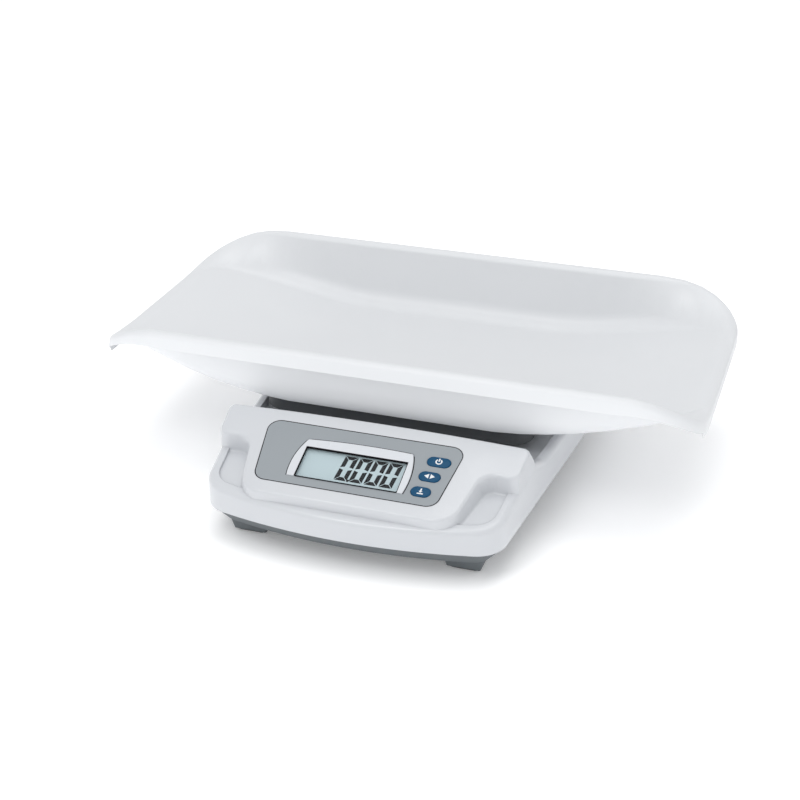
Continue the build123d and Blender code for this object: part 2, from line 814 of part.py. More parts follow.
with BuildPart() as lower_case:
    add(base_outline(case_inset, shell_bottom))
    extrude(amount=shell_bottom - case_bottom, dir=(0, 0, -1), taper=case_draft)
    add(base_outline(case_inset + case_wall, shell_bottom))
    extrude(amount=shell_bottom - case_bottom - case_floor, dir=(0, 0, -1), taper=case_draft, mode=Mode.SUBTRACT)
    # tongue inside the upper shell
    with BuildPart(mode=Mode.PRIVATE) as tongue:
        add(base_outline(shell_wall + running_gap, shell_bottom - 2))
        extrude(amount=2 + case_tongue)
        add(base_outline(shell_wall + running_gap + 2, shell_bottom - 4))
        extrude(amount=20, mode=Mode.SUBTRACT)
    add(tongue.part)
    # bosses for the case screws and the stops
    for x, y in case_screw_places:
        with BuildSketch(Plane.XY.offset(case_bottom + 1)):
            with Locations((x, y)):
                Circle(6)
        extrude(amount=shell_bottom - case_bottom - 1)
    with BuildSketch(Plane.XY.offset(case_bottom + 1)):
        with Locations((0, tray_y)):
            with GridLocations(2 * stop_x, 2 * stop_y, 2, 2):
                Circle(7)
    extrude(amount=stop_boss_top - case_bottom - 1)
    # seat of the load cell
    with BuildSketch(Plane.XY.offset(case_bottom + 1)):
        with Locations((-(cell_length / 2 - spacer_length / 2), tray_y)):
            RectangleRounded(spacer_length + 4, cell_width + 4, 3)
        with Locations((0, tray_y)):
            with Locations((0, 22), (0, -22)):
                Rectangle(2 * stop_x, 2.5)
    extrude(amount=cell_bottom - lower_spacer - case_bottom - 1)
    # battery bay
    with BuildSketch(Plane.XY.offset(case_bottom)):
        with Locations((0, bay_y)):
            RectangleRounded(2 * (bay_half_x + bay_ledge + 3), 2 * (bay_half_y + bay_ledge + 3), 4)
    extrude(amount=6)
    with BuildSketch(Plane.XY.offset(case_bottom)):
        with Locations((0, bay_y)):
            Rectangle(2 * (bay_half_x + bay_wall), 2 * (bay_half_y + bay_wall))
    extrude(amount=bay_roof + bay_wall - case_bottom)
    with BuildSketch(Plane.XY.offset(case_bottom)):
        with Locations((0, bay_y)):
            RectangleRounded(2 * (bay_half_x + bay_ledge), 2 * (bay_half_y + bay_ledge), 3)
    extrude(amount=door_thickness, mode=Mode.SUBTRACT)
    with BuildSketch(Plane.XY.offset(case_bottom)):
        with Locations((0, bay_y)):
            Rectangle(2 * bay_half_x, 2 * bay_half_y)
    extrude(amount=bay_roof - case_bottom, mode=Mode.SUBTRACT)
    # posts for the main board
    with BuildSketch(Plane.XY.offset(case_bottom + 1)):
        with Locations((main_board_x, main_board_y)):
            with GridLocations(main_board_length - 10, main_board_width - 10, 2, 2):
                Circle(3.2)
    extrude(amount=main_board_bottom - case_bottom - 1)
    # feet
    for x, y in foot_places:
        with BuildSketch(Plane.XY.offset(case_bottom + 1)):
            with Locations((x, y)):
                RectangleRounded(foot_size, foot_size, 6)
        extrude(amount=case_bottom + 1 - foot_bottom, dir=(0, 0, -1), taper=foot_taper)
    with BuildSketch(Plane.XY.offset(foot_bottom)):
        with Locations(*foot_places):
            RectangleRounded(foot_pad_size + 2 * screw_gap, foot_pad_size + 2 * screw_gap, 4)
    extrude(amount=foot_pad_height - foot_bottom, mode=Mode.SUBTRACT)
    # holes from below
    with BuildSketch(Plane.XY.offset(0)):
        with Locations(*case_screw_places):
            Circle(3.5)
    extrude(amount=case_bottom + 8, mode=Mode.SUBTRACT)
    with BuildSketch(Plane.XY.offset(0)):
        with Locations(*case_screw_places):
            Circle(case_screw_radius + screw_gap)
    extrude(amount=40, mode=Mode.SUBTRACT)
    with BuildSketch(Plane.XY.offset(case_bottom)):
        with Locations((-(cell_length / 2 - spacer_length / 2), tray_y)):
            with GridLocations(cell_screw_pitch, 1, 2, 1):
                Circle(1.75 * cell_screw_radius + running_gap)
    extrude(amount=2.5, mode=Mode.SUBTRACT)
    with BuildSketch(Plane.XY.offset(case_bottom)):
        with Locations((-(cell_length / 2 - spacer_length / 2), tray_y)):
            with GridLocations(cell_screw_pitch, 1, 2, 1):
                Circle(cell_screw_radius + screw_gap)
    extrude(amount=10, mode=Mode.SUBTRACT)
    with BuildSketch(Plane.XY.offset(case_bottom + 3)):
        with Locations((0, tray_y)):
            with GridLocations(2 * stop_x, 2 * stop_y, 2, 2):
                Circle(stop_radius + screw_gap)
    extrude(amount=40, mode=Mode.SUBTRACT)
    with BuildSketch(Plane.XY.offset(case_bottom + 3)):
        with Locations((main_board_x, main_board_y)):
            with GridLocations(main_board_length - 10, main_board_width - 10, 2, 2):
                Circle(1.2)
    extrude(amount=20, mode=Mode.SUBTRACT)
save(lower_case.part, "lower_case")

with BuildPart() as foot_pads:
    with BuildSketch():
        with Locations(*foot_places):
            RectangleRounded(foot_pad_size, foot_pad_size, 4)
    extrude(amount=foot_pad_height)
    chamfer(foot_pads.faces().group_by(Axis.Z)[0].edges(), 0.5)
save(foot_pads.part, "foot_pads")

with BuildPart() as case_screws:
    with BuildSketch(Plane.XY.offset(case_bottom + 5.8)):
        with Locations(*case_screw_places):
            Circle(3)
    extrude(amount=2.2)
    with BuildSketch(Plane.XY.offset(case_bottom + 8)):
        with Locations(*case_screw_places):
            Circle(case_screw_radius)
    extrude(amount=shell_bottom + 12 - case_bottom - 8)
    for turn in (0, 90):
        with BuildSketch(Plane.XY.offset(case_bottom + 5.8)):
            with Locations(*case_screw_places):
                Rectangle(3.4, 0.8, rotation=turn)
        extrude(amount=1.2, mode=Mode.SUBTRACT)
save(case_screws.part, "case_screws")

with BuildPart() as overload_stops:
    with BuildSketch(Plane.XY.offset(case_bottom + 4)):
        with Locations((0, tray_y)):
            with GridLocations(2 * stop_x, 2 * stop_y, 2, 2):
                Circle(stop_radius)
    extrude(amount=platform_bottom - stop_gap - case_bottom - 4)
    with BuildSketch(Plane.XY.offset(stop_boss_top)):
        with Locations((0, tray_y)):
            with GridLocations(2 * stop_x, 2 * stop_y, 2, 2):
                RegularPolygon(5.5, 6)
    extrude(amount=4)
save(overload_stops.part, "overload_stops")

# Batteries

row = [(i - 1.5) * battery_pitch for i in range(4)]

with BuildPart() as battery_door:
    with BuildSketch(Plane.XY.offset(case_bottom)):
        with Locations((0, bay_y)):
            RectangleRounded(
                2 * (bay_half_x + bay_ledge - running_gap), 2 * (bay_half_y + bay_ledge - running_gap), 3 - running_gap
            )
    extrude(amount=door_thickness)
    with BuildSketch(Plane.XY.offset(case_bottom + door_thickness)):
        with Locations((0, bay_y)):
            with GridLocations(2 * (bay_half_x - running_gap) - 1.5, 26, 2, 2):
                Rectangle(1.5, 10)
    extrude(amount=4)
    with BuildSketch(Plane.XY.offset(case_bottom)):
        with Locations((0, bay_y + bay_half_y - 8)):
            with GridLocations(1, 3.5, 1, 3):
                SlotOverall(26, 1.8)
    extrude(amount=0.7, mode=Mode.SUBTRACT)
save(battery_door.part, "battery_door")

with BuildPart() as batteries:
    for i, x in enumerate(row):
        way = 1 if i % 2 else -1
        with BuildSketch(Plane.XZ.offset(-bay_y)):
            with Locations((x, battery_z)):
                Circle(battery_radius)
        extrude(amount=battery_length / 2 - 1, both=True)
        with BuildSketch(Plane.XZ.offset(-bay_y + way * (battery_length / 2 - 1))):
            with Locations((x, battery_z)):
                Circle(2.7)
        extrude(amount=way * 1.6)
save(batteries.part, "batteries")

with BuildPart() as battery_contacts:
    for i, x in enumerate(row):
        for side in (-1, 1):
            with BuildSketch(Plane.XZ.offset(-bay_y + side * bay_half_y)):
                with Locations((x, battery_z)):
                    Rectangle(11, 11)
            extrude(amount=-side * 0.5)
        way = 1 if i % 2 else -1
        with BuildSketch(Plane.XZ.offset(-bay_y + way * (bay_half_y - 0.5))):
            with Locations((x, battery_z)):
                Circle(3)
        extrude(amount=-way * (bay_half_y - battery_length / 2 - 1.3))
save(battery_contacts.part, "battery_contacts")

with BuildPart() as battery_springs:
    for i, x in enumerate(row):
        way = 1 if i % 2 else -1
        root_y = bay_y + way * (bay_half_y - 0.7)
        tip_y = bay_y + way * (battery_length / 2 - 0.6)
        with BuildSketch(Plane.YZ.offset(x - 3.5)):
            with BuildLine():
                Polyline((root_y, battery_z - 4.5), (tip_y, battery_z), (root_y, battery_z + 4.5))
            trace(line_width=0.4)
        extrude(amount=7)
save(battery_springs.part, "battery_springs")

# Main board

with BuildPart() as main_board:
    with BuildSketch(Plane.XY.offset(main_board_bottom)):
        with Locations((main_board_x, main_board_y)):
            RectangleRounded(main_board_length, main_board_width, 3)
            with GridLocations(main_board_length - 10, main_board_width - 10, 2, 2):
                Circle(1.3, mode=Mode.SUBTRACT)
    extrude(amount=board_thickness)
save(main_board.part, "main_board")

board_top = main_board_bottom + board_thickness

with BuildPart() as main_chips:
    for x, y, length, width, height in ((-8, 4, 14, 14, 1.8), (14, 12, 10, 6, 1.6), (16, -8, 7, 7, 1.5), (-26, -12, 5, 8, 2.2)):
        with BuildSketch(Plane.XY.offset(board_top)):
            with Locations((main_board_x + x, main_board_y + y)):
                Rectangle(length, width)
        extrude(amount=height)
save(main_chips.part, "main_chips")

with BuildPart() as buzzer:
    with BuildSketch(Plane.XY.offset(board_top)):
        with Locations((main_board_x - 28, main_board_y + 8)):
            Circle(6)
    extrude(amount=6)
    with BuildSketch(Plane.XY.offset(board_top + 3)):
        with Locations((main_board_x - 28, main_board_y + 8)):
            Circle(1.2)
    extrude(amount=3, mode=Mode.SUBTRACT)
save(buzzer.part, "buzzer")

cell_plug = (main_board_x - 5, main_board_y + main_board_width / 2 - 5)
ribbon_plug = (main_board_x + 5, main_board_y - main_board_width / 2 + 5)

with BuildPart() as wire_plugs:
    for x, y, length in ((*cell_plug, 12), (*ribbon_plug, 26)):
        with BuildSketch(Plane.XY.offset(board_top)):
            with Locations((x, y)):
                Rectangle(length, 5)
        extrude(amount=5)
save(wire_plugs.part, "wire_plugs")

with BuildPart() as cell_lead:
    lead_x = -20
    start = Vector(cell_plug[0], cell_plug[1], board_top + 5)
    end = Vector(lead_x, tray_y - cell_width / 2, cell_bottom + 4)
    with BuildLine() as lead_path:
        FilletPolyline(start, start + Vector(0, 0, 7), (lead_x, 18, end.Z), end, radius=4)
    with BuildSketch(Plane(start, z_dir=(0, 0, 1))):
        RectangleRounded(4.4, 1.4, 0.6)
    sweep(path=lead_path.line)
save(cell_lead.part, "cell_lead")

with BuildPart() as display_ribbon:
    board_under = panel_plane.offset(-board_depth - board_thickness)
    top_point = board_under.from_local_coords((ribbon_plug[0], 50, 0))
    bottom_point = Vector(ribbon_plug[0], ribbon_plug[1], board_top + 5)
    with BuildSketch(Plane.YZ.offset(ribbon_plug[0] - 11)):
        with BuildLine():
            Polyline(
                (top_point.Y, top_point.Z - 0.4),
                (top_point.Y + 2, top_point.Z - 8),
                (-106, 45),
                (bottom_point.Y, bottom_point.Z + 10),
                (bottom_point.Y, bottom_point.Z + 0.1),
            )
        trace(line_width=0.6)
    extrude(amount=22)
save(display_ribbon.part, "display_ribbon")

with BuildPart() as board_screws:
    board_under = panel_plane.offset(-board_depth - board_thickness)
    with BuildSketch(board_under.offset(-1.5)):
        with Locations(*board_post_places):
            Circle(2.4)
    extrude(amount=1.5)
    with BuildSketch(board_under):
        with Locations(*board_post_places):
            Circle(1.1)
    extrude(amount=board_thickness + board_depth - console_cover - 0.5)
    with BuildSketch(Plane.XY.offset(board_top)):
        with Locations((main_board_x, main_board_y)):
            with GridLocations(main_board_length - 10, main_board_width - 10, 2, 2):
                Circle(2.4)
    extrude(amount=1.5)
    with BuildSketch(Plane.XY.offset(case_bottom + 4)):
        with Locations((main_board_x, main_board_y)):
            with GridLocations(main_board_length - 10, main_board_width - 10, 2, 2):
                Circle(1.1)
    extrude(amount=board_top - case_bottom - 4)
save(board_screws.part, "board_screws")
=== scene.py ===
import json
import math

import bpy
from mathutils import Matrix, Vector

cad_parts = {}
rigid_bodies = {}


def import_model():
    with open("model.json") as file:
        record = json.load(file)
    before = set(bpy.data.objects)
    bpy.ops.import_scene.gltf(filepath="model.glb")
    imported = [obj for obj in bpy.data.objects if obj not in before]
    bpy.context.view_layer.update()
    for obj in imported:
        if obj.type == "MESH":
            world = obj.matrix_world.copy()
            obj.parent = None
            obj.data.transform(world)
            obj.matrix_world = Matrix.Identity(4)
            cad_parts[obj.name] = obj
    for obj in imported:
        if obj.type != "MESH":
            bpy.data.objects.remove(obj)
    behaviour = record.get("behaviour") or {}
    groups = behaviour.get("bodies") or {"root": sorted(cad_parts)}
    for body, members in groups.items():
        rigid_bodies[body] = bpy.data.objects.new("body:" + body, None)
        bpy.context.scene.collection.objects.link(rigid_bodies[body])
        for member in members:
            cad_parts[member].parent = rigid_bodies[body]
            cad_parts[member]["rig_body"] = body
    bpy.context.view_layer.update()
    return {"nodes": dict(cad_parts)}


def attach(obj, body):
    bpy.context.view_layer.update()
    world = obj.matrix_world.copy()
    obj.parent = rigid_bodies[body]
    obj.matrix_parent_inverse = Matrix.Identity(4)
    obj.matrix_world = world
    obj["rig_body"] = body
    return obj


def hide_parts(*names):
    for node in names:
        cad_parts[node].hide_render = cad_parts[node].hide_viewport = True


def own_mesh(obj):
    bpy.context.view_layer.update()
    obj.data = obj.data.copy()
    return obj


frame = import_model()
nodes = frame["nodes"]
mm = 0.001


def stage(text):
    print("[baby scale]", text, flush=True)


def deselectAll():
    for thing in bpy.context.selected_objects:
        thing.select_set(False)


# a value is set on the node itself where it has such a property, or else on the socket of that name
def addNode(tree, kind, **values):
    node = tree.nodes.new(kind)
    for key, value in values.items():
        if hasattr(node, key):
            setattr(node, key, value)
        else:
            node.inputs[key].default_value = value
    return node


# a node that spreads a value from one range to another
def addRange(tree, value, source, target):
    node = tree.nodes.new("ShaderNodeMapRange")
    for socket, number in zip(("From Min", "From Max", "To Min", "To Max"), (*source, *target)):
        node.inputs[socket].default_value = number
    tree.links.new(value, node.inputs["Value"])
    return node


# camera and light, matched to the photograph

view = {
    "aim": (-27.7, 55.5, 32.5),        # mm, what the middle of the picture looks at
    "turn": 18.4,                      # degrees from straight in front, towards +X
    "pitch": 26.65,                    # degrees looking down
    "distance": 1491.4,                # mm
    "lens": 69.78,                     # mm
    "sensor": 36,                      # mm wide
    "backdrop": (0.98, 0.99, 1.0),
    "backdropStrength": 0.8,           # as a light; to the camera the backdrop is white
}

lamps = {
    # name: place, aim and size in metres, watts
    "key": ((-0.4, -1.2, 1.8), (0, 0, 0.08), 0.8, 8.5),
    "top": ((0.1, 0.2, 2.1), (0, 0.05, 0.1), 1.2, 8.5),
    "front": ((-0.5, -2.2, 0.1), (0, -0.1, 0.08), 1.2, 1.5),
    "trayFill": ((0.3, -1.8, 1.0), (0, 0.15, 0.12), 1.0, 3.5),
    "underFill": ((-0.2, -1.3, -0.9), (0, -0.1, 0.1), 1.2, 8),
    "tableFill": ((0, 0.2, 2.6), (0, 0.2, 0), 2.5, 15),
    "side": ((2.0, -0.2, 0.4), (0, 0, 0.05), 1.0, 1.5),
}

# what each fill lamp reaches, and nothing else
reachOf = {"trayFill": "tray_skin", "underFill": "tray_skin", "tableFill": "floor"}

table = {
    "size": 60,                        # m, past every view's edge
    "colour": (0.95, 0.95, 0.955),
    "roughness": 0.6,
    "glow": 0.15,                      # lit from inside, so that it stays white
}


def makeCamera():
    aim = Vector(view["aim"]) * mm
    turn = math.radians(view["turn"])
    pitch = math.radians(view["pitch"])
    away = Vector((math.sin(turn) * math.cos(pitch), -math.cos(turn) * math.cos(pitch), math.sin(pitch)))
    data = bpy.data.cameras.new("camera")
    data.lens = view["lens"]
    data.sensor_width = view["sensor"]
    camera = bpy.data.objects.new("camera", data)
    camera.location = aim + away * view["distance"] * mm
    camera.rotation_euler = (-away).to_track_quat("-Z", "Y").to_euler()
    bpy.context.scene.collection.objects.link(camera)
    bpy.context.scene.camera = camera


def makeLamps():
    for name, (place, aim, size, watts) in lamps.items():
        data = bpy.data.lights.new(name, "AREA")
        data.size = size
        data.energy = watts
        lamp = bpy.data.objects.new(name, data)
        lamp.location = place
        lamp.rotation_euler = (Vector(aim) - Vector(place)).to_track_quat("-Z", "Y").to_euler()
        bpy.context.scene.collection.objects.link(lamp)


def makeBackdrop():
    world = bpy.data.worlds.new("studio")
    world.use_nodes = True
    tree = world.node_tree
    glow = tree.nodes["Background"]
    glow.inputs["Color"].default_value = (*view["backdrop"], 1)
    # full strength where the camera sees it
    ray = tree.nodes.new("ShaderNodeLightPath")
    strength = addNode(tree, "ShaderNodeMath", operation="MAXIMUM")
    strength.inputs[1].default_value = view["backdropStrength"]
    tree.links.new(ray.outputs["Is Camera Ray"], strength.inputs[0])
    tree.links.new(strength.outputs[0], glow.inputs["Strength"])
    bpy.context.scene.world = world
    bpy.context.scene.view_settings.view_transform = "Standard"


def makeFloor():
    deselectAll()
    bpy.ops.mesh.primitive_plane_add(size=table["size"], location=(0, 0, 0))
    floor = bpy.context.object
    floor.name = "floor"
    material, _, shader = blankMaterial("paleFloor")
    shader.inputs["Base Color"].default_value = (*table["colour"], 1)
    shader.inputs["Roughness"].default_value = table["roughness"]
    shader.inputs["Emission Color"].default_value = (1, 1, 1, 1)
    shader.inputs["Emission Strength"].default_value = table["glow"]
    floor.data.materials.append(material)


# only the named piece is lit, and the lamp from below shines through the table
def aimFills():
    for lamp, target in reachOf.items():
        reached = bpy.data.collections.new("litBy_" + lamp)
        reached.objects.link(bpy.data.objects[target])
        linking = bpy.data.objects[lamp].light_linking
        linking.receiver_collection = reached
        if lamp == "underFill":
            linking.blocker_collection = reached


# materials

def blankMaterial(name):
    material = bpy.data.materials.new(name)
    material.use_nodes = True
    tree = material.node_tree
    return material, tree, tree.nodes["Principled BSDF"]


# what all moulded plastic shares
moulding = {
    "cloudScale": 14.0,                # the colour and the gloss vary in soft clouds
    "cloudRange": (0.35, 0.65),
    "dustTint": (0.80, 0.82, 0.85),
    "glossSpread": 0.25,               # the clouds add up to this to the roughness
    "glossMiddle": 0.12,               # and on average about this, which comes off first
    "bumpHeight": 0.0002,              # m
    "edgeSamples": 6,
    "coatRoughness": 0.15,
    "scatter": 0.006,                  # m, how far light spreads inside
}


# the fine grain, slight cloudiness and soft edges of moulded plastic
def makeGrainGroup():
    group = bpy.data.node_groups.new("mouldedGrain", "ShaderNodeTree")
    link = group.links.new
    group.interface.new_socket("Colour", in_out="INPUT", socket_type="NodeSocketColor")
    for name in ("Dust", "Roughness", "Grain Scale", "Grain Depth", "Edge Radius"):
        group.interface.new_socket(name, in_out="INPUT", socket_type="NodeSocketFloat")
    for name, kind in (("Colour", "Color"), ("Roughness", "Float"), ("Normal", "Vector")):
        group.interface.new_socket(name, in_out="OUTPUT", socket_type="NodeSocket" + kind)
    inputs = group.nodes.new("NodeGroupInput")
    outputs = group.nodes.new("NodeGroupOutput")
    coords = group.nodes.new("ShaderNodeTexCoord")
    fine = addNode(group, "ShaderNodeTexNoise", Detail=3.0)
    patches = addNode(group, "ShaderNodeTexNoise", Scale=moulding["cloudScale"], Detail=2.0)
    link(coords.outputs["Object"], fine.inputs["Vector"])
    link(coords.outputs["Object"], patches.inputs["Vector"])
    link(inputs.outputs["Grain Scale"], fine.inputs["Scale"])
    # colour: a thin dust in clouds; a colour mix has its factor at 0 and its colours at 6 and 7
    cloud = addRange(group, patches.outputs["Fac"], moulding["cloudRange"], (0.0, 1.0))
    link(inputs.outputs["Dust"], cloud.inputs["To Max"])
    tint = addNode(group, "ShaderNodeMix", data_type="RGBA", blend_type="MULTIPLY")
    tint.inputs[7].default_value = (*moulding["dustTint"], 1)
    link(cloud.outputs["Result"], tint.inputs[0])
    link(inputs.outputs["Colour"], tint.inputs[6])
    link(tint.outputs[2], outputs.inputs["Colour"])
    # roughness: the same clouds
    rough = addNode(group, "ShaderNodeMath", operation="MULTIPLY_ADD")
    rough.inputs[1].default_value = moulding["glossSpread"]
    link(patches.outputs["Fac"], rough.inputs[0])
    link(inputs.outputs["Roughness"], rough.inputs[2])
    link(rough.outputs[0], outputs.inputs["Roughness"])
    # normal: softened edges, and the grain on top
    edge = addNode(group, "ShaderNodeBevel", samples=moulding["edgeSamples"])
    bump = addNode(group, "ShaderNodeBump", Distance=moulding["bumpHeight"])
    link(inputs.outputs["Edge Radius"], edge.inputs["Radius"])
    link(edge.outputs["Normal"], bump.inputs["Normal"])
    link(inputs.outputs["Grain Depth"], bump.inputs["Strength"])
    link(fine.outputs["Fac"], bump.inputs["Height"])
    link(bump.outputs["Normal"], outputs.inputs["Normal"])
    return group


mouldedGrain = makeGrainGroup()


def mouldedPlastic(name, colour, roughness, grainScale, grainDepth,
                   dust=0.1, coat=0.0, subsurface=0.0, specular=0.5, edgeRadius=0.0):
    material, tree, shader = blankMaterial(name)
    group = tree.nodes.new("ShaderNodeGroup")
    group.node_tree = mouldedGrain
    group.inputs["Colour"].default_value = (*colour, 1)
    group.inputs["Dust"].default_value = dust
    group.inputs["Roughness"].default_value = roughness - moulding["glossMiddle"]
    group.inputs["Grain Scale"].default_value = grainScale
    group.inputs["Grain Depth"].default_value = grainDepth
    group.inputs["Edge Radius"].default_value = edgeRadius * mm
    for output, socket in (("Colour", "Base Color"), ("Roughness", "Roughness"), ("Normal", "Normal")):
        tree.links.new(group.outputs[output], shader.inputs[socket])
    shader.inputs["Specular IOR Level"].default_value = specular
    shader.inputs["Coat Weight"].default_value = coat
    shader.inputs["Coat Roughness"].default_value = moulding["coatRoughness"]
    shader.inputs["Subsurface Weight"].default_value = subsurface
    shader.inputs["Subsurface Radius"].default_value = (moulding["scatter"],) * 3
    shader.inputs["Subsurface Scale"].default_value = 1.0
    return material


def metal(name, colour, roughness):
    material = mouldedPlastic(name, colour, roughness, 60.0, 0.15, dust=0.3)
    material.node_tree.nodes["Principled BSDF"].inputs["Metallic"].default_value = 1.0
    return material


window = {
    "colour": (0.30, 0.34, 0.35),
    "specular": 0.3,
    "alpha": 0.04,
    "smudgeScale": 45.0,
    "smudgeRange": (0.3, 0.7),
    "roughness": (0.05, 0.14),         # where it is clean and where it is smudged
}


def clearWindow():
    material, tree, shader = blankMaterial("clearWindow")
    coords = tree.nodes.new("ShaderNodeTexCoord")
    smudges = addNode(tree, "ShaderNodeTexNoise", Scale=window["smudgeScale"], Detail=3.0)
    spread = addRange(tree, smudges.outputs["Fac"], window["smudgeRange"], window["roughness"])
    tree.links.new(coords.outputs["Object"], smudges.inputs["Vector"])
    tree.links.new(spread.outputs["Result"], shader.inputs["Roughness"])
    shader.inputs["Base Color"].default_value = (*window["colour"], 1)
    shader.inputs["Specular IOR Level"].default_value = window["specular"]
    shader.inputs["Alpha"].default_value = window["alpha"]
    return material


plastics = {
    # name: colour, roughness, scale and depth of the grain, and what else it has
    "whitePlastic": ((0.59, 0.605, 0.63), 0.34, 900.0, 0.12, {"dust": 0.08, "coat": 0.5, "edgeRadius": 1.3}),
    "trayPlastic": ((0.66, 0.67, 0.685), 0.38, 700.0, 0.1,
                    {"dust": 0.05, "subsurface": 0.15, "edgeRadius": 0.8}),
    "casePlastic": ((0.12, 0.135, 0.145), 0.6, 1200.0, 0.5, {"edgeRadius": 0.8}),
    # the platform's colour is partly its own dark plastic and partly painted shade, darkened so that the gap
    # under the tray reads black
    "platformPlasticAndShade": ((0.07, 0.075, 0.08), 0.6, 1200.0, 0.5, {}),
    "rubber": ((0.02, 0.02, 0.02), 0.8, 1500.0, 0.6, {}),
    "panelGrey": ((0.29, 0.315, 0.335), 0.5, 2500.0, 0.25, {}),
    "framePlastic": ((0.64, 0.66, 0.69), 0.3, 1500.0, 0.1, {"coat": 0.2, "edgeRadius": 0.3}),
    "displayGreen": ((0.50, 0.61, 0.645), 0.35, 1500.0, 0.0, {"dust": 0.15}),
    "buttonBlue": ((0.002, 0.065, 0.15), 0.45, 1500.0, 0.2, {"specular": 0.25, "edgeRadius": 0.4}),
    # black of the printed digits, and also of the painted shadow lines round the panel, the frame and the
    # display's opening
    "digitAndShadowBlack": ((0.008, 0.006, 0.008), 0.7, 1500.0, 0.0, {"specular": 0.1}),
    "signWhite": ((0.78, 0.79, 0.80), 0.5, 1500.0, 0.1, {}),
    "blackPlastic": ((0.012, 0.012, 0.013), 0.5, 1500.0, 0.3, {}),
    "circuitGreen": ((0.02, 0.13, 0.06), 0.4, 1800.0, 0.3, {}),
    "plugWhite": ((0.62, 0.60, 0.52), 0.5, 1200.0, 0.3, {}),
    "leadGrey": ((0.22, 0.22, 0.23), 0.55, 1200.0, 0.4, {}),
    "batteryJacket": ((0.10, 0.11, 0.13), 0.35, 1200.0, 0.1, {"coat": 0.4}),
}

finishes = {name: mouldedPlastic(name, *look, **extras) for name, (*look, extras) in plastics.items()}
finishes["aluminium"] = metal("aluminium", (0.78, 0.79, 0.80), 0.38)
finishes["steel"] = metal("steel", (0.58, 0.58, 0.57), 0.32)
finishes["clearWindow"] = clearWindow()

nodesWith = {
    "trayPlastic": ("tray",),
    "whitePlastic": ("upper_shell",),
    "casePlastic": ("lower_case", "battery_door"),
    "platformPlasticAndShade": ("platform",),
    "rubber": ("platform_pads", "foot_pads"),
    "panelGrey": ("display_panel",),
    "framePlastic": ("display_frame",),
    "clearWindow": ("display_window",),
    "displayGreen": ("lcd_glass",),
    "buttonBlue": ("button_top", "button_middle", "button_bottom"),
    "blackPlastic": ("lcd_holder", "tact_switches", "main_chips", "buzzer"),
    "circuitGreen": ("display_board", "main_board"),
    "plugWhite": ("wire_plugs", "gauge_covers"),
    "leadGrey": ("cell_lead", "display_ribbon"),
    "batteryJacket": ("batteries",),
    "aluminium": ("load_cell", "cell_spacer_lower", "cell_spacer_upper"),
    "steel": ("case_screws", "overload_stops", "board_screws", "battery_contacts", "battery_springs",
              "cell_screws_lower", "cell_screws_upper"),
}


def giveFinish(piece, name):
    piece.data.materials.clear()
    piece.data.materials.append(finishes[name])


# the nodes that get a skin with soft shading: its slot, and the sharpest edge in degrees that is smoothed
skins = {
    "tray": ("white_plastic", 40),
    "upper_shell": ("white_plastic", 35),
    "lower_case": ("case_plastic", 35),
    "platform": ("platform_plastic", 30),
    "display_panel": ("panel_grey", 30),
    "display_frame": ("frame_plastic", 30),
    "battery_door": ("case_plastic", 30),
    "foot_pads": ("pad_rubber", 30),
    "button_top": ("button_blue", 50),
    "button_middle": ("button_blue", 50),
    "button_bottom": ("button_blue", 50),
    "load_cell": ("cell_aluminium", 30),
    "gauge_covers": ("plug_white", 30),
}

mergeDistance = 0.00001                # m


# a merged copy of a CAD node, which keeps the node's finish and stands for it
def smoothSkin(node, angle):
    source = nodes[node]
    piece = source.copy()
    piece.data = source.data.copy()
    piece.name = node + "_skin"
    piece.parent = None
    for key in list(piece.keys()):
        del piece[key]
    bpy.context.scene.collection.objects.link(piece)
    deselectAll()
    piece.select_set(True)
    bpy.context.view_layer.objects.active = piece
    bpy.ops.object.mode_set(mode="EDIT")
    bpy.ops.mesh.select_all(action="SELECT")
    bpy.ops.mesh.remove_doubles(threshold=mergeDistance)
    bpy.ops.mesh.customdata_custom_splitnormals_clear()
    bpy.ops.object.mode_set(mode="OBJECT")
    bpy.ops.object.shade_smooth_by_angle(angle=math.radians(angle))
    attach(piece, source["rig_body"])
    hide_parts(node)


# the sloped face's own frame: x to the right, s up the slope, h out of it, all in mm
panel = {
    "origin": (0, -178.4, 63.2),
    "slope": 20.3,            # degrees
    "lcdDepth": 2.9,          # the top of the display glass lies this far under the panel's face
}


def panelMatrix(x, s, h):
    slope = math.radians(panel["slope"])
    right = Vector((1, 0, 0))
    up = Vector((0, math.cos(slope), math.sin(slope)))
    out = right.cross(up)
    place = Vector(panel["origin"]) + right * x + up * s + out * h
    turn = Matrix((right, up, out)).transposed().to_4x4()
    return Matrix.Translation(place * mm) @ turn


# joins flat pieces made at the origin (in mm) and lays them on the sloped face
def layOnPanel(pieces, name, x, s, h):
    deselectAll()
    for piece in pieces:
        piece.select_set(True)
    bpy.context.view_layer.objects.active = pieces[0]
    if len(pieces) > 1:
        bpy.ops.object.join()
    piece = bpy.context.object
    piece.name = name
    piece.data.transform(panelMatrix(x, s, h) @ Matrix.Scale(mm, 4) @ piece.matrix_world)
    piece.matrix_world = Matrix.Identity(4)
    return piece


# a flat shape with the given corners and thickness, and a hole if its corners are given
def flatShape(corners, thickness, hole=None):
    curve = bpy.data.curves.new("flatShape", "CURVE")
    curve.dimensions = "2D"
    curve.fill_mode = "BOTH"
    for outline in (corners, hole):
        if outline:
            spline = curve.splines.new("POLY")
            spline.points.add(len(outline) - 1)
            for point, (x, y) in zip(spline.points, outline):
                point.co = (x, y, 0, 1)
            spline.use_cyclic_u = True
    curve.extrude = thickness / 2
    piece = bpy.data.objects.new("flatShape", curve)
    bpy.context.scene.collection.objects.link(piece)
    deselectAll()
    piece.select_set(True)
    bpy.context.view_layer.objects.active = piece
    bpy.ops.object.convert(target="MESH")
    return bpy.context.object


def block(left, low, right, high):
    return [(left, low), (right, low), (right, high), (left, high)]


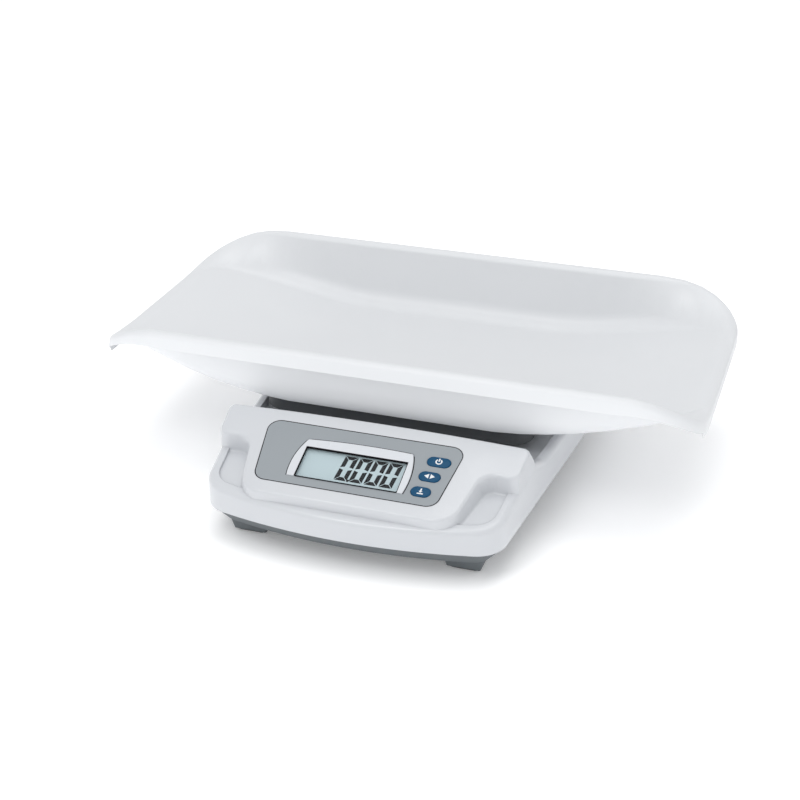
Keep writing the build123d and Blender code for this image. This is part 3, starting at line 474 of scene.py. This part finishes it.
digits = {
    "count": 4,               # all show zero
    "left": -13.2,            # mm along the panel, lower left corner of the first digit
    "low": 14.6,
    "width": 11.4,
    "height": 27.0,
    "pitch": 13.15,
    "lean": 0.095,            # sideways shift for each unit of height
    "stroke": 3.7,
    "gap": 0.45,              # between neighbouring segments
    "sideGap": 1.4,           # of the gap, between the upper and lower segment of a side
    "pointAfter": 1,          # the decimal point follows this many digits
    "pointBack": 1.9,         # and starts this far before the next one
    "pointSize": 2.2,
    "pointSlant": 0.2,        # of its size
    "pointDrop": 0.4,         # how far it reaches below the digits
    "thickness": 0.05,
    "clear": 0.002,           # over the display glass
}


# corners before the lean, for a at the top, d at the bottom, b and c on the right, e and f on the left
def segmentCorners(segment):
    w, h, t, g = digits["width"], digits["height"], digits["stroke"], digits["gap"]
    if segment == "a":
        return [(g, h), (w - g, h), (w - t - g / 2, h - t), (t + g / 2, h - t)]
    if segment == "d":
        return [(g, 0), (t + g / 2, t), (w - t - g / 2, t), (w - g, 0)]
    side = g * digits["sideGap"]
    inward, outward = (t, 0) if segment in "ef" else (w - t, w)
    if segment in "bf":
        return [(outward, h - g), (inward, h - t - g), (inward, h / 2 + t / 2), (outward, h / 2 + side)]
    return [(outward, g), (inward, t + g), (inward, h / 2 - t / 2), (outward, h / 2 - side)]


def makeDigits():
    shapes = []
    for i in range(digits["count"]):
        left = digits["left"] + i * digits["pitch"]
        for segment in "abcdef":
            corners = [(left + x + digits["lean"] * y, digits["low"] + y) for x, y in segmentCorners(segment)]
            shapes.append(flatShape(corners, digits["thickness"]))
    # the decimal point, a small slanted block
    left = digits["left"] + digits["pointAfter"] * digits["pitch"] - digits["pointBack"]
    low, size = digits["low"] - digits["pointDrop"], digits["pointSize"]
    high, slant = digits["low"] + size, size * digits["pointSlant"]
    point = [(left, low), (left + size - slant, low), (left + size, high), (left + slant, high)]
    shapes.append(flatShape(point, digits["thickness"]))
    middle = digits["thickness"] / 2 - panel["lcdDepth"] + digits["clear"]
    return layOnPanel(shapes, "lcd_digits", 0, 0, middle)


# painted shadow lines round the grey panel and the display's frame, and a dark lining of the display's
# opening that paints the shade at its edge, in mm
lines = {
    "width": 0.75,
    "thickness": 0.04,
    "panelHalfLow": 79.7,     # the panel's outline
    "panelHalfHigh": 88.9,
    "panelHigh": 67.3,
    "panelCorner": 11.0,
    "windowMiddle": (-0.75, 25.75),
    "windowHalf": (45.25, 16.75),
    "frameLeft": 6.5,         # how far the frame reaches out from the opening
    "frameRight": 4.8,
    "frameTop": 9.5,
    "frameClear": 0.1,        # between the frame and its line
    "cornerLeft": (5.5, 1.5),       # the top left corner, in from the left and down from the top
    "cornerRight": 3.5,             # the top right corner, in from the right
    "bulgeLeft": 0.4,         # how far the line's three arcs swell
    "bulgeTop": 0.9,
    "bulgeRight": 0.9,
    "bulgeHigh": 6,           # above the opening's middle, where the side arcs are widest
    "footRight": 0.3,         # the right arc's foot is set in by this
    "liningWidth": 0.55,
    "liningLow": -1.15,
    "liningHigh": 0.82,
    "liningCorners": (1.5, 1.0),    # outside and inside
}


# points from one spoke to the other round a middle
def sweep(middle, start, end, steps):
    turn = start.angle_signed(end)
    points = []
    for step in range(steps + 1):
        spoke = start.copy()
        spoke.rotate(Matrix.Rotation(-turn * step / steps, 2))
        points.append(tuple(middle + spoke))
    return points


# the outline with its corners rounded
def roundCorners(corners, radius):
    rounded = []
    for i, corner in enumerate(corners):
        here = Vector(corner)
        before = (Vector(corners[i - 1]) - here).normalized()
        after = (Vector(corners[(i + 1) % len(corners)]) - here).normalized()
        half = before.angle(after) / 2
        middle = here + (before + after).normalized() * radius / math.sin(half)
        start = here + before * radius / math.tan(half) - middle
        end = here + after * radius / math.tan(half) - middle
        rounded += sweep(middle, start, end, 8)
    return rounded


# points on the arc through three points
def arcThrough(a, b, c, steps=14):
    a, b, c = Vector(a), Vector(b), Vector(c)
    u, v = b - a, c - a
    uu, vv = u.length_squared, v.length_squared
    middle = a + Vector((v.y * uu - u.y * vv, u.x * vv - v.x * uu)) / (2 * (u.x * v.y - u.y * v.x))
    return sweep(middle, a - middle, c - middle, steps)


# a band of even width along a path
def bandAlong(path, width):
    left, right = [], []
    for i, point in enumerate(path):
        ahead = Vector(path[min(i + 1, len(path) - 1)]) - Vector(path[max(i - 1, 0)])
        across = Vector((-ahead.y, ahead.x)).normalized() * width / 2
        left.append(tuple(Vector(point) + across))
        right.append(tuple(Vector(point) - across))
    return left + right[::-1]


# a painted shadow line round the panel's outline, where the gap round it lies in shade
def makePanelShadowLine():
    low, high, top = lines["panelHalfLow"], lines["panelHalfHigh"], lines["panelHigh"]
    w, corner = lines["width"], lines["panelCorner"]
    outer = [(-low, 0), (low, 0), (high, top), (-high, top)]
    inner = [(-low + w, w), (low - w, w), (high - w, top - w), (-high + w, top - w)]
    ring = flatShape(roundCorners(outer, corner), lines["thickness"], roundCorners(inner, corner - w))
    return layOnPanel([ring], "panel_line", 0, 0, lines["thickness"] / 2)


# a painted shadow line up the left of the frame, over it and down its right; the two corner points are left
# out, which softens them
def makeFrameShadowLine():
    (x, s), (halfX, halfS) = lines["windowMiddle"], lines["windowHalf"]
    margin = lines["frameClear"] + lines["width"] / 2
    left, right = x - halfX - lines["frameLeft"] - margin, x + halfX + lines["frameRight"] + margin
    low, high = s - halfS, s + halfS + lines["frameTop"] + margin
    inLeft, downLeft = lines["cornerLeft"]
    topLeft, topRight = (left + inLeft, high - downLeft), (right - lines["cornerRight"], high)
    widest = s + lines["bulgeHigh"]
    path = arcThrough((left, low), (left - lines["bulgeLeft"], widest), topLeft)[:-1]
    path += arcThrough(topLeft, (x, high + lines["bulgeTop"]), topRight, 30)[1:-1]
    path += arcThrough(topRight, (right + lines["bulgeRight"], widest), (right - lines["footRight"], low))[1:]
    band = flatShape(bandAlong(path, lines["width"]), lines["thickness"])
    return layOnPanel([band], "frame_line", 0, 0, lines["thickness"] / 2)


# a dark lining inside the display's opening: painted shade where the display lies sunk below the frame
def makeWindowShadowLining():
    (x, s), (halfX, halfS) = lines["windowMiddle"], lines["windowHalf"]
    w = lines["liningWidth"]
    outer = block(x - halfX, s - halfS, x + halfX, s + halfS)
    inner = block(x - halfX + w, s - halfS + w, x + halfX - w, s + halfS - w)
    outerCorner, innerCorner = lines["liningCorners"]
    ring = flatShape(roundCorners(outer, outerCorner), lines["liningHigh"] - lines["liningLow"],
                     roundCorners(inner, innerCorner))
    return layOnPanel([ring], "window_lining", 0, 0, (lines["liningHigh"] + lines["liningLow"]) / 2)


# white signs printed on the buttons, in mm
signs = {
    "height": 6.0,
    "stroke": 1.15,
    "thickness": 0.05,
    "sunk": 0.01,             # how deep a sign's underside lies in the button
    "proud": 0.9,             # the button caps stand this far out of the panel
    "places": {"button_top": (69.2, 48.0), "button_middle": (66.0, 31.2), "button_bottom": (63.4, 14.2)},
    "ring": (125, 415),       # degrees, from and to
    "barLow": 0.1,            # of the ring's radius
    "barPast": 0.9,           # of the stroke, past the ring
    "arrowHalf": 0.42,        # of the height
    "arrowReach": (0.7, 4.6),       # an arrowhead's base and tip, from the middle
    "lineHalf": 2.6,
    "headHalf": 1.7,
    "headHigh": 0.3,
}


def layOnButton(shapes, node):
    x, s = signs["places"][node]
    return layOnPanel(shapes, node + "_sign", x, s, signs["proud"] + signs["thickness"] / 2 - signs["sunk"])


# part of a ring, from one angle to another in degrees
def ringPart(radius, stroke, start, end, steps=24):
    outer, inner = [], []
    for i in range(steps + 1):
        angle = math.radians(start + (end - start) * i / steps)
        for side, points in ((1, outer), (-1, inner)):
            reach = radius + side * stroke / 2
            points.append((reach * math.cos(angle), reach * math.sin(angle)))
    return outer + inner[::-1]


# an open ring with a bar: on and off
def powerSign(node):
    t = signs["stroke"]
    r = signs["height"] / 2 - t / 2
    ring = flatShape(ringPart(r, t, *signs["ring"]), signs["thickness"])
    bar = flatShape(block(-t / 2, r * signs["barLow"], t / 2, r + t * signs["barPast"]), signs["thickness"])
    return layOnButton([ring, bar], node)


# two arrowheads, one each way: change over
def modeSign(node):
    half = signs["height"] * signs["arrowHalf"]
    base, tip = signs["arrowReach"]
    shapes = []
    for way in (-1, 1):
        corners = [(way * base, -half), (way * base, half), (way * tip, 0)]
        shapes.append(flatShape(corners, signs["thickness"]))
    return layOnButton(shapes, node)


# an arrow down onto a line: keep the value
def memorySign(node):
    half, t = signs["height"] / 2, signs["stroke"]
    line = block(-signs["lineHalf"], -half, signs["lineHalf"], -half + t)
    shaft = block(-t / 2, 0, t / 2, half)
    high = signs["headHigh"]
    head = [(-signs["headHalf"], high), (signs["headHalf"], high), (0, -half + t + high)]
    return layOnButton([flatShape(corners, signs["thickness"]) for corners in (line, shaft, head)], node)


stage("camera and light")
makeCamera()
makeLamps()
makeBackdrop()

stage("finishes")
for finish, names in nodesWith.items():
    for name in names:
        giveFinish(nodes[name], finish)

stage("skins with soft shading")
for node, (slot, angle) in skins.items():
    smoothSkin(node, angle)
for name in ("load_cell_skin", "gauge_covers_skin"):
    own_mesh(bpy.data.objects[name])

stage("digits and dark lines on the panel")
# the digits are printed; the other three pieces are painted shadow, dark strips where gaps and the sunk
# display lie in shade
for piece in (makeDigits(), makePanelShadowLine(), makeFrameShadowLine(), makeWindowShadowLining()):
    giveFinish(piece, "digitAndShadowBlack")
    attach(piece, "base")

stage("signs on the buttons")
for node, makeSign in (("button_top", powerSign), ("button_middle", modeSign), ("button_bottom", memorySign)):
    sign = makeSign(node)
    giveFinish(sign, "signWhite")
    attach(sign, node)

stage("floor and fill lamps")
makeFloor()
aimFills()
